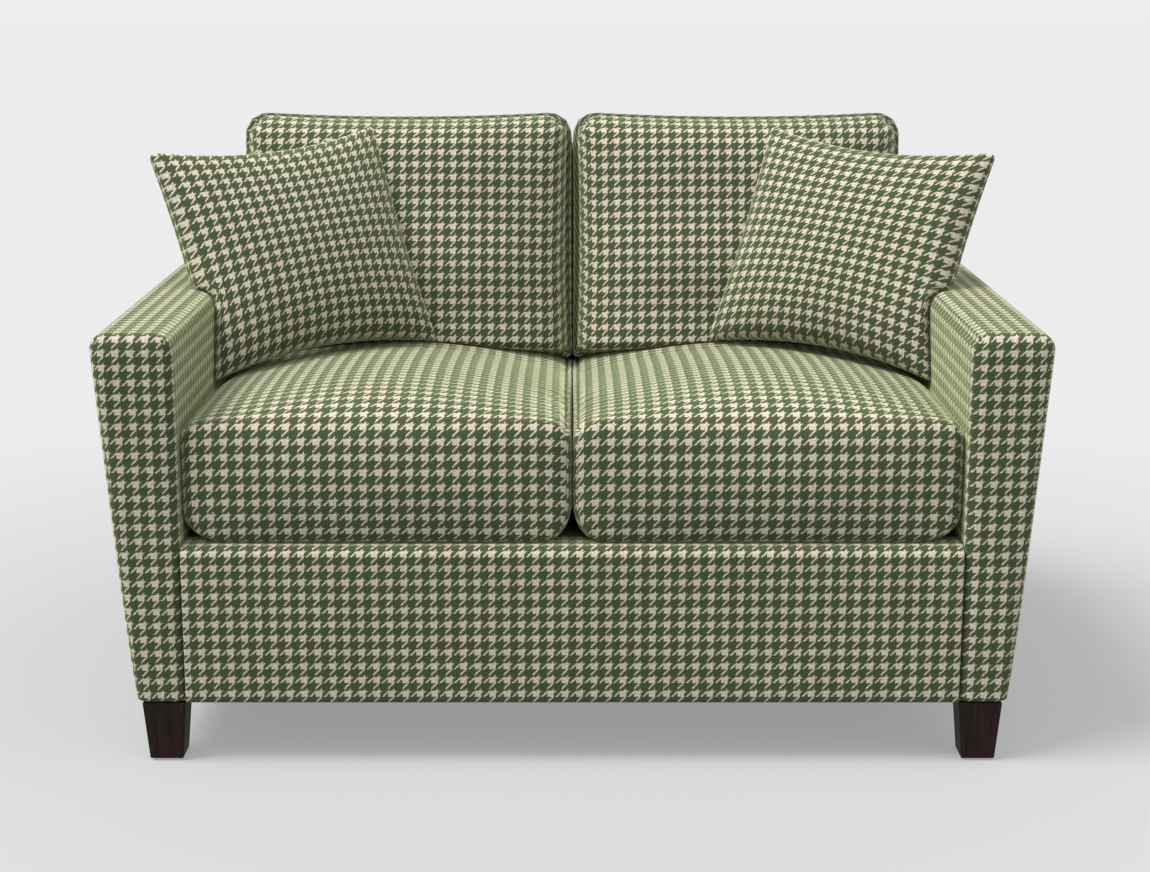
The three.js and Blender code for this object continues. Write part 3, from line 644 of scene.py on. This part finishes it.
def rolled(a, b, half, reach):
    """The share of the way down a round edge, from 0 at reach inside the rectangle to 1 on its outline. The
    fall is a quarter of an ellipse. reach is the width of the round edge at -X and X, at -Y and at Y, and an
    edge at -Y whose reach is 0 stays sharp."""
    over_x = np.clip((np.abs(a) - half[0]) / reach[0] + 1, 0, 1)
    front = np.clip((-b - half[1]) / reach[1] + 1, 0, 1) if reach[1] > 0 else 0
    over_y = np.maximum(front, np.clip((b - half[1]) / reach[2] + 1, 0, 1))
    over = np.minimum(1, (over_x ** 3 + over_y ** 3) ** (1 / 3))
    return 1 - np.sqrt(1 - over ** 2)


def turned(axis, angle):
    """The matrix of a turn about X, Y or Z."""
    cos, sin = math.cos(angle), math.sin(angle)
    first, second = [other for other in range(3) if other != axis]
    matrix = np.eye(3)
    matrix[first, first] = matrix[second, second] = cos
    sign = -1 if axis == 1 else 1
    matrix[first, second], matrix[second, first] = -sin * sign, sin * sign
    return matrix


def lengths_along(points, axis):
    """Lengths along the lines of a grid of points, each from the line's first point."""
    lengths = np.cumsum(np.linalg.norm(np.diff(points, axis=axis), axis=-1), axis=axis)
    return np.insert(lengths, 0, 0, axis=axis)


# The groove along a seam, and its puckers. The puckers follow two waves, in radians per metre along X. Along
# Y each wave is longer by its share, so that no two sides of a cushion are alike.
SEAM_DEPTH = 0.0007
SEAM_REACH = 0.0022
PUCKER_DEPTH = 0.0008
PUCKER_REACH = 0.009
SHORT_PUCKERS, SHORT_SHARE = 450, 0.87
LONG_PUCKERS, LONG_SHARE = 290, 0.93


def seam_pull(a, b, off):
    """How far cloth is pulled in at a distance off from a seam: a fine groove, and puckers whose depth
    changes with two waves along the seam. Both fade away from it."""
    waves = 0.6 * np.sin(SHORT_PUCKERS * (a + SHORT_SHARE * b))
    waves += 0.4 * np.sin(LONG_PUCKERS * (LONG_SHARE * b - a) + 2)
    pucker = PUCKER_DEPTH * (0.5 + 0.5 * waves) ** 2 * np.exp(-off / PUCKER_REACH)
    return SEAM_DEPTH * np.exp(-off / SEAM_REACH) + pucker


def box_cushion(size, corners, lower, seam, shape, seam_place, stretch):
    """A box cushion that lies on its back, from 0 up to its thickness: a top panel, a bottom panel and the
    boxing between them. corners gives the plan's corner radii at -Y and at Y, and lower the width and height
    of the round lower edge at -X, X, -Y and Y. The top seam is drawn in by seam[0] over the last seam[1] of
    the height. shape(a, b, height) gives what is added to X, Y and Z for a place in the rectangle and a
    height from 0 to 1. The cloth is measured along the surface from the middle of the front seam, which lies
    at seam_place on the cloth, and is stretched by stretch."""
    width, length, thickness = size
    half = (width / 2, length / 2)
    near = np.array([0, 0.0012, 0.0026, 0.0045, 0.007, 0.011, 0.016])
    a = spaced(width, near, CUSHION_STEP) - half[0]
    b = spaced(length, near, CUSHION_STEP) - half[1]
    highest = max(rise for _, rise in lower)
    low = highest * (1 - np.cos(np.linspace(0, math.pi / 2, 12)))
    rows = max(2, round((thickness - near[-1] - highest) / CUSHION_STEP))
    walls = np.linspace(highest, thickness - near[-1], rows + 1)
    heights = np.concatenate([low[:-1], walls, thickness - near[:-1][::-1]]) / thickness

    def placed(a, b, height, off):
        inset = []
        for values, edges in ((a, lower[:2]), (b, lower[2:])):
            wide, high = (np.where(values < 0, edges[0][k], edges[1][k]) for k in range(2))
            under = np.clip(1 - height * thickness / high, 0, 1)
            inset.append(wide * (1 - np.sqrt(1 - under ** 2)))
        pull = seam_pull(a, b, off)
        drawn = seam[0] * np.clip((height - 1 + seam[1]) / seam[1], 0, 1) ** 2 + pull
        corner = [plan_rounded(a, b, half, radius) for radius in corners]
        x, y = (np.where(b < 0, corner[0][k], corner[1][k]) for k in range(2))
        x = x * (1 - (inset[0] + drawn) / half[0])
        y = y * (1 - (inset[1] + drawn) / half[1])
        moved = shape(a, b, height)
        return np.stack([x + moved[0], y + moved[1], height * thickness - pull + moved[2]], axis=-1)

    surface = Surface()
    grid_a, grid_b = np.meshgrid(a, b)
    middle = len(a) // 2
    off = np.minimum(half[0] - np.abs(grid_a), half[1] - np.abs(grid_b))
    top = placed(grid_a, grid_b, np.ones_like(grid_a), off)
    across = lengths_along(top[..., [0, 2]], 1)
    across += top[:, middle, 0][:, None] - across[:, middle][:, None]
    along = lengths_along(top[..., 1:], 0) + top[0, :, 1] - top[0, middle, 1]
    surface.add(top, np.stack([across, seam_place + along], axis=-1) / stretch)
    bottom = placed(grid_a, grid_b, np.zeros_like(grid_a), thickness)
    surface.add(bottom, bottom[..., :2] * (1, -1) / stretch)

    ring_a = np.concatenate([a, np.full(len(b) - 1, half[0]), a[::-1][1:], np.full(len(b) - 1, -half[0])])
    ring_b = np.concatenate([np.full(len(a), -half[1]), b[1:], np.full(len(a) - 1, half[1]), b[::-1][1:]])
    ring_a, grid_h = np.meshgrid(ring_a, heights)
    ring_b = np.broadcast_to(ring_b, ring_a.shape)
    wall = placed(ring_a, ring_b, grid_h, (1 - grid_h) * thickness)
    around = lengths_along(wall[..., :2], 1)
    around += wall[:, middle, 0][:, None] - around[:, middle][:, None]
    run = np.gradient(wall[len(heights) // 2, :, :2], axis=0)
    outwards = np.stack([run[:, 1], -run[:, 0]], axis=-1) / np.linalg.norm(run, axis=-1, keepdims=True)
    profile = np.stack([(wall[..., :2] * outwards).sum(axis=-1), wall[..., 2]], axis=-1)
    up = lengths_along(profile, 0)
    surface.add(wall, np.stack([around, seam_place + up - up[-1]], axis=-1) / stretch)
    return surface


# The seat cushions. Their lower and round edges are given as box_cushion and rolled take them.
SEAT_SIZE = (INNER - 2 * CUSHION_GAP, SEAT_REAR - FRONT - SEAT_SETBACK, SEAT_SEAM - SEAT_LEVEL - CLEAR)
SEAT_MIDDLE = (INNER / 2, FRONT + SEAT_SETBACK + SEAT_SIZE[1] / 2)
SEAT_SEAM_PLACE = 0.4854
SEAT_CROWN = 0.035
SEAT_RISE_LENGTH = 0.050
SEAT_FALL = 0.023
SEAT_FALL_PLACE = 0.520
SEAT_GAP_FALL = 0.006
SEAT_SIDE_DROP = 0.012
SEAT_BULGE = 0.012
SEAT_CORNERS = (0.024, 0.024)
SEAT_LOWER_EDGES = ((0.036, 0.058), (0.055, 0.044), (0.013, 0.020), (0.030, 0.040))
SEAT_ROUND_EDGES = (0.045, 0, 0.045)
SEAT_DRAWN_SEAM = (0.007, 0.16)

# The waves beside the gap between the seat cushions: radians per metre along the cushion, and how far they
# reach away from the gap, behind and before the place where they are highest.
RISE_WAVES = (150, 263)
RISE_WAVE_SLANT = 30
RISE_WAVE_REACH = 0.030
RISE_WAVE_PLACE = 0.16
RISE_WAVE_SPREAD = 0.14
SWAY_WAVES = (128, 41)
SWAY_REACH = 0.035
SWAY_START = 0.04


def seat_rise(a, b, waves):
    """The height of a seat cushion's top panel over its front seam. It rises steeply at first, is fullest in
    the middle, and falls slowly to the rear. Near the gap between the cushions, at -X, it falls further and
    is wavy. waves are the height and the phase of those waves."""
    half = (SEAT_SIZE[0] / 2, SEAT_SIZE[1] / 2)
    across, behind = a / half[0], np.maximum(0, b + half[1])
    middle = np.maximum(0, 1 - across ** 2) ** 1.3
    rise = SEAT_CROWN * (1 - np.exp(-behind / SEAT_RISE_LENGTH))
    fall = SEAT_FALL * np.minimum(1, behind / SEAT_FALL_PLACE) ** 2.6
    to_gap = SEAT_GAP_FALL * np.minimum(1, behind / SEAT_FALL_PLACE) ** 2 * np.clip(-across, 0, 1) ** 2
    from_gap = np.maximum(0, a + half[0])
    height, phase = waves
    wave = np.sin(RISE_WAVES[0] * behind + RISE_WAVE_SLANT * from_gap + phase)
    wave += 0.6 * np.sin(RISE_WAVES[1] * behind + 1.7 * phase)
    wave *= height * np.exp(-from_gap / RISE_WAVE_REACH)
    wave *= np.exp(-((behind - RISE_WAVE_PLACE) / RISE_WAVE_SPREAD) ** 2)
    return rise * middle - fall - to_gap + wave - SEAT_SIDE_DROP * rolled(a, b, half, SEAT_ROUND_EDGES)


def seat_surface(waves):
    """The right-hand seat cushion. Its front bulges, and beside the gap its top edge sways a little to the
    side and up and down."""
    half = (SEAT_SIZE[0] / 2, SEAT_SIZE[1] / 2)

    def shape(a, b, height):
        across, along = a / half[0], b / half[1]
        bulge = -SEAT_BULGE * np.maximum(0, -along) ** 3 * (1 - across ** 2) * np.sin(math.pi * height)
        behind = b + half[1]
        from_gap = np.maximum(0, a + half[0])
        sway = 1 + np.sin(SWAY_WAVES[0] * behind + waves[1] + 1) * np.sin(SWAY_WAVES[1] * behind + waves[1])
        sway = waves[0] * sway * np.exp(-from_gap / SWAY_REACH) * np.clip(behind / SWAY_START, 0, 1)
        return sway * height ** 6, bulge, seat_rise(a, b, waves) * height ** 6

    surface = box_cushion(
        SEAT_SIZE, SEAT_CORNERS, SEAT_LOWER_EDGES, SEAT_DRAWN_SEAM, shape, SEAT_SEAM_PLACE, SEAT_STRETCH)
    shift = (*SEAT_MIDDLE, SEAT_LEVEL + CLEAR)
    surface.points = [points + shift for points in surface.points]
    surface.cloth = [cloth + (SEAT_MIDDLE[0] / SEAT_STRETCH, 0) for cloth in surface.cloth]
    return surface


# How a back cushion is pressed by the seat cushion: the room it is given, the size of the soft turn where
# it starts to give way, and the share of the way that a pressed point goes. The rest of the way keeps points
# apart that would otherwise come to lie on each other.
PRESSED_CLEAR = 0.0016
PRESSED_TURN = 0.0015
PRESSED_SHARE = 0.97


def above_seat(points, waves):
    """Slides points up along the raked inside back, until they lie clear above the right-hand seat cushion. A
    slide moves a point to another place over the seat, so its height is looked up three times."""
    run = np.array([0, math.sin(INSIDE_RAKE), math.cos(INSIDE_RAKE)])
    moved = points
    for _ in range(3):
        a, b = (
            np.clip(moved[..., k] - SEAT_MIDDLE[k], -SEAT_SIZE[k] / 2, SEAT_SIZE[k] / 2) for k in range(2))
        top = SEAT_SEAM + seat_rise(a, b, waves) + PRESSED_CLEAR
        lift = PRESSED_TURN * np.logaddexp(0, (top - points[..., 2]) / (run[2] * PRESSED_TURN))
        moved = points + PRESSED_SHARE * lift[..., None] * run
    return moved


# The back cushions.
BACK_CROWN = 0.045
BACK_SEAM_PLACE = 0.590
BACK_BELLY = 0.010
BACK_BELLY_PLACE = -0.28
BACK_BELLY_WIDTH = 0.33
BACK_DIP = 0.009
BACK_WAIST = 0.004
BACK_EDGE_DROP = 0.040
BACK_CORNERS = (0.012, 0.042)
BACK_LOWER_EDGES = ((0.018, 0.018),) * 4
BACK_ROUND_EDGES = (0.038, 0.015, 0.055)
BACK_DRAWN_SEAM = (0.0055, 0.18)


def back_surface(waves):
    """The right-hand back cushion, raked with the inside back. Its foot is pressed flat on the seat cushion,
    whose waves are given. Its face is fullest low down."""
    width = INNER - 2 * CUSHION_GAP
    rise = BACK_CUSHION_TOP - BACK_FOOT - BACK_CUSHION_THICKNESS * math.sin(INSIDE_RAKE)
    length = rise / math.cos(INSIDE_RAKE)
    half = (width / 2, length / 2)

    def shape(a, b, height):
        across, along = a / half[0], b / half[1]
        middle = 1 - np.abs(across) ** 2.8
        waist = -BACK_WAIST * across * (1 - along ** 2) * height ** 3
        dip = -BACK_DIP * np.maximum(0, along) ** 3 * (1 - across ** 2)
        belly = BACK_BELLY * np.exp(-((along - BACK_BELLY_PLACE) / BACK_BELLY_WIDTH) ** 2)
        crown = (BACK_CROWN * (1 - np.maximum(0, along) ** 5) + belly) * middle
        drop = BACK_EDGE_DROP * rolled(a, b, half, BACK_ROUND_EDGES)
        return waist, dip, crown * height ** 8 - drop * height ** 3

    surface = box_cushion(
        (width, length, BACK_CUSHION_THICKNESS), BACK_CORNERS, BACK_LOWER_EDGES, BACK_DRAWN_SEAM, shape,
        BACK_SEAM_PLACE, 1.0)
    turn = turned(0, math.pi / 2 - INSIDE_RAKE)
    shift = (INNER / 2, inside_at(BACK_FOOT), BACK_FOOT)
    surface.points = [
        above_seat((points + (0, length / 2, CLEAR)) @ turn.T + shift, waves)
        for points in surface.points]
    surface.cloth = [cloth + (INNER / 2, 0) for cloth in surface.cloth]
    return surface


# The scatter cushions. SCATTER_PRESSED is the share of the front panel's depth that is left where the arm
# presses it.
SCATTER_WIDTH = 0.404
SCATTER_HEIGHT = 0.376
SCATTER_THICKNESS = 0.140
SCATTER_FULLNESS = 0.42
SCATTER_SEAM = 0.004
SCATTER_CORNER = 0.012
SCATTER_CLEAR = 0.0005
SCATTER_SOFTNESS = 0.003
SCATTER_PRESSED = 0.45
SCATTER_DRAW_IN = (0.013, 0.026)
SCATTER_MIDDLE = (0.442, 0.056, 0.672)
SCATTER_TURN = math.radians(33.7)
SCATTER_LEAN = math.radians(25.2)
SCATTER_ROLL = math.radians(3.6)

# The line inside an arm that points are pushed away from, how square the arm's section is taken to be, and
# the furthest that it counts as arm.
ARM_PIVOT = (ARM_OUTER - 0.022, ARM_TOP - 0.080)
ARM_SQUARENESS = 7
ARM_REACH = 0.5


def clear_of_arm(points, lift):
    """Pushes points away from a line inside the right-hand arm until they lie lift outside its cover. The
    arm's section is taken as a rounded corner: its inner face, its top and the edge between them."""
    pivot = ARM_PIVOT
    x, z = points[..., 0] - pivot[0], points[..., 2] - pivot[1]
    reach = np.hypot(x, z)
    away_x, away_z = x / np.maximum(reach, 1e-6), z / np.maximum(reach, 1e-6)
    to_inner, to_top = pivot[0] - INNER + lift, ARM_TOP - pivot[1] + lift
    power = ARM_SQUARENESS
    rounded = (np.maximum(-away_x, 0) / to_inner) ** power + (np.maximum(away_z, 0) / to_top) ** power
    edge = 1 / np.maximum(rounded, 1e-9) ** (1 / power)
    edge = np.where((away_x > 0) & (away_z < 0), 0, np.minimum(edge, ARM_REACH))
    pushed = edge + SCATTER_SOFTNESS * np.logaddexp(0, (reach - edge) / SCATTER_SOFTNESS)
    moved = points.copy()
    moved[..., 0] = pivot[0] + away_x * pushed
    moved[..., 2] = pivot[1] + away_z * pushed
    return moved


def scatter_surface():
    """The right-hand scatter cushion: two bulging panels that meet in a thin seam, drawn in between the
    corners. Its points lie closer together towards the seam."""
    count = 61
    line = np.sin(np.linspace(-1, 1, count) * math.pi / 2)
    across, along = np.meshgrid(line, line)
    fullness = ((1 - across ** 2) * (1 - along ** 2)) ** SCATTER_FULLNESS
    depth = (SCATTER_SEAM + (SCATTER_THICKNESS - SCATTER_SEAM) * fullness) / 2
    half = (SCATTER_WIDTH / 2, SCATTER_HEIGHT / 2)
    x, y = plan_rounded(across * half[0], along * half[1], half, SCATTER_CORNER)
    x = x - across * SCATTER_DRAW_IN[0] * (1 - along ** 2)
    y = y - along * SCATTER_DRAW_IN[1] * (1 - across ** 2)
    place = turned(2, -SCATTER_TURN) @ turned(0, math.pi / 2 - SCATTER_LEAN) @ turned(2, -SCATTER_ROLL)
    surface = Surface()
    for side in (1, -1):
        points = np.stack([x, y, side * depth], axis=-1)
        cloth = np.stack([side * across * SCATTER_WIDTH / 2, along * SCATTER_HEIGHT / 2], axis=-1)
        placed = points @ place.T + SCATTER_MIDDLE
        lift = SCATTER_CLEAR + (SCATTER_PRESSED * depth if side > 0 else 0)
        surface.add(clear_of_arm(placed, lift), cloth)
    front = np.stack([x, y, depth], axis=-1)
    edge = np.concatenate([front[0, :], front[1:, -1], front[-1, ::-1][1:], front[::-1, 0][1:]])
    rim = np.stack([edge, edge * (1, 1, -1)])
    run = np.concatenate([[0], np.cumsum(np.linalg.norm(np.diff(edge, axis=0), axis=1))])
    cloth = np.stack([np.stack([run, 0 * run], axis=-1), np.stack([run, 0 * run + SCATTER_SEAM], axis=-1)])
    placed = rim @ place.T + SCATTER_MIDDLE
    lift = np.stack([0 * run + SCATTER_PRESSED * SCATTER_SEAM / 2, 0 * run]) + SCATTER_CLEAR
    surface.add(clear_of_arm(placed, lift), cloth)
    return surface


def foot_surface(low, high):
    """A square foot with softened edges that tapers evenly on all sides to the floor."""
    middle = ((low.x + high.x) / 2, (low.y + high.y) / 2)
    radius, step = 0.0025, 0.008
    bottom_share = FOOT_BOTTOM / (high.x - low.x)

    def warp(points, lengths):
        share = bottom_share + (1 - bottom_share) * (points[..., 2] - low.z) / (high.z - low.z)
        for axis in range(2):
            points[..., axis] = middle[axis] + (points[..., axis] - middle[axis]) * share
        return points, lengths

    near = [0, 0.0008, 0.0016, radius, 0.005]
    radii = (radius, radius, radius)
    return rounded_box(
        low, high, radii, radii, near, step,
        lambda axis, end, lengths: lengths[..., [k for k in range(3) if k != axis]], warp)


def outside_back_surface():
    """The outside back: a raked panel, as wide as the seat below the inside back and narrower above, whose
    edges are drawn in a little. It steps in over a small height, because rows at one height would tear the
    wall that thicken gives it."""
    top = BACK_TOP - BACK_LIP - CLEAR
    step_in = 0.002
    rows_below, rows_above = 24, 44
    below = np.linspace(BASE, SEAT_LEVEL, rows_below)
    heights = np.concatenate([below, np.linspace(SEAT_LEVEL + step_in, top, rows_above)])
    wide, narrow = INNER - CLEAR, INNER - BACK_END_RADIUS - 2 * CLEAR
    half = np.where(np.arange(len(heights)) < rows_below, wide, narrow)
    share = spaced(2, [0, 0.004, 0.01, 0.02], 0.025) - 1
    x = half[:, None] * share
    z = np.broadcast_to(heights[:, None], x.shape)
    edge = np.minimum((half[:, None] - np.abs(x)), np.minimum(z - BASE, top - z))
    drawn_in, reach = 0.003, 0.006
    drop = drawn_in * np.exp(-edge / reach)
    y = rear_at(z) - drop + uneven(np.stack([x, 0 * x, z], axis=-1), height=0.0008, size=0.35)
    surface = Surface()
    surface.add(np.stack([x, y, z], axis=-1), np.stack([-x, z], axis=-1))
    return surface


def thicken(piece, thickness):
    """Gives an open cover its thickness, towards the inside."""
    wall = piece.modifiers.new("thickness", "SOLIDIFY")
    wall.thickness = thickness
    wall.offset = -1
    wall.use_even_offset = True


def finish_piece(piece, body, material, nodes):
    """Hides the frame's parts that the piece takes the place of, hangs it on what it moves with and gives it
    what it is covered in.
    """
    piece.data.materials.clear()
    piece.data.materials.append(material)
    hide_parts(*nodes)
    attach(piece, body)


make_camera()
make_stage()
make_sun("key_light", strength=3.8, forwards=10, sideways=-32, spread=30, color=(1.0, 1.0, 0.95))
make_sun("front_light", strength=1.2, forwards=30, sideways=20, spread=90, color=(1.0, 1.0, 0.97))

WOOL = houndstooth()
WOOD = dark_wood()

for hand, surface in (("right", arm_surface()), ("left", arm_surface().mirrored())):
    piece = surface.make(f"arm_{hand}")
    finish_piece(piece, "frame", WOOL, [f"arm_cover_{hand}"])

for name, surface, node in (
    ("border", border_surface(), "front_border"),
    ("inside_back", inside_back_surface(), "inside_back_cover"),
    ("outside_back", outside_back_surface(), "outside_back_cover"),
):
    piece = surface.make(name)
    thicken(piece, COVER_THICKNESS)
    finish_piece(piece, "frame", WOOL, [node])

# The waves of the two seat cushions beside the gap: their height and phase.
RIGHT_WAVES = (0.0008, 0.9)
LEFT_WAVES = (0.0013, 2.6)

for kind, slot, right, left in (
    ("seat", "seat_cushions", seat_surface(RIGHT_WAVES), seat_surface(LEFT_WAVES)),
    ("back", "back_cushions", back_surface(RIGHT_WAVES), back_surface(LEFT_WAVES)),
    ("scatter", "scatter_cushions", scatter_surface(), scatter_surface()),
):
    for hand, surface in (("right", right), ("left", left.mirrored())):
        piece = surface.make(f"{kind}_{hand}")
        finish_piece(piece, f"{kind}_{hand}", WOOL, [f"{kind}_cushion_{hand}"])

for end in ("front", "back"):
    for hand in ("left", "right"):
        node = f"foot_{end}_{hand}"
        piece = foot_surface(*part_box(node)).make(f"{end}_{hand}_foot")
        finish_piece(piece, "frame", WOOD, [node])

# Finishes of the parts that the frame brings.
PINE = grained("pine", linear(190, 150, 100), linear(219, 186, 138), (90, 12, 90), 0.7)
PLYWOOD = grained("plywood", linear(158, 122, 78), linear(196, 160, 112), (30, 400, 400), 0.7)
STEEL = grained("spring_steel", linear(70, 72, 76), linear(120, 123, 128), (300, 300, 300), 0.35, 1.0)
ZINC = grained("zinc_plate", linear(160, 164, 168), linear(200, 204, 208), (500, 500, 500), 0.35, 1.0)
WEBBING = grained("elastic_webbing", linear(28, 28, 29), linear(60, 60, 60), (40, 900, 900), 0.9)
FELT = grained("green_felt", linear(66, 72, 56), linear(104, 108, 90), (260, 260, 260), 0.95)
LINING = grained("black_lining", linear(20, 20, 21), linear(40, 40, 42), (700, 700, 700), 0.95)
NYLON = grained("nylon", linear(38, 39, 41), linear(56, 57, 59), (200, 200, 200), 0.5)

FINISH_OF = {
    "arm_front_post": PINE,
    "arm_back_post": PINE,
    "arm_top_rail": PINE,
    "base_": PINE,
    "back_top_rail": PINE,
    "corner_block": PINE,
    "back_upright": PLYWOOD,
    "back_centre": PLYWOOD,
    "seat_spring": STEEL,
    "foot_bolt": ZINC,
    "foot_glide": NYLON,
    "back_strap": WEBBING,
    "seat_platform": FELT,
    "dust_cover": LINING,
}
for name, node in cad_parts.items():
    for start, material in FINISH_OF.items():
        if name.startswith(start):
            node.data.materials.clear()
            node.data.materials.append(material)
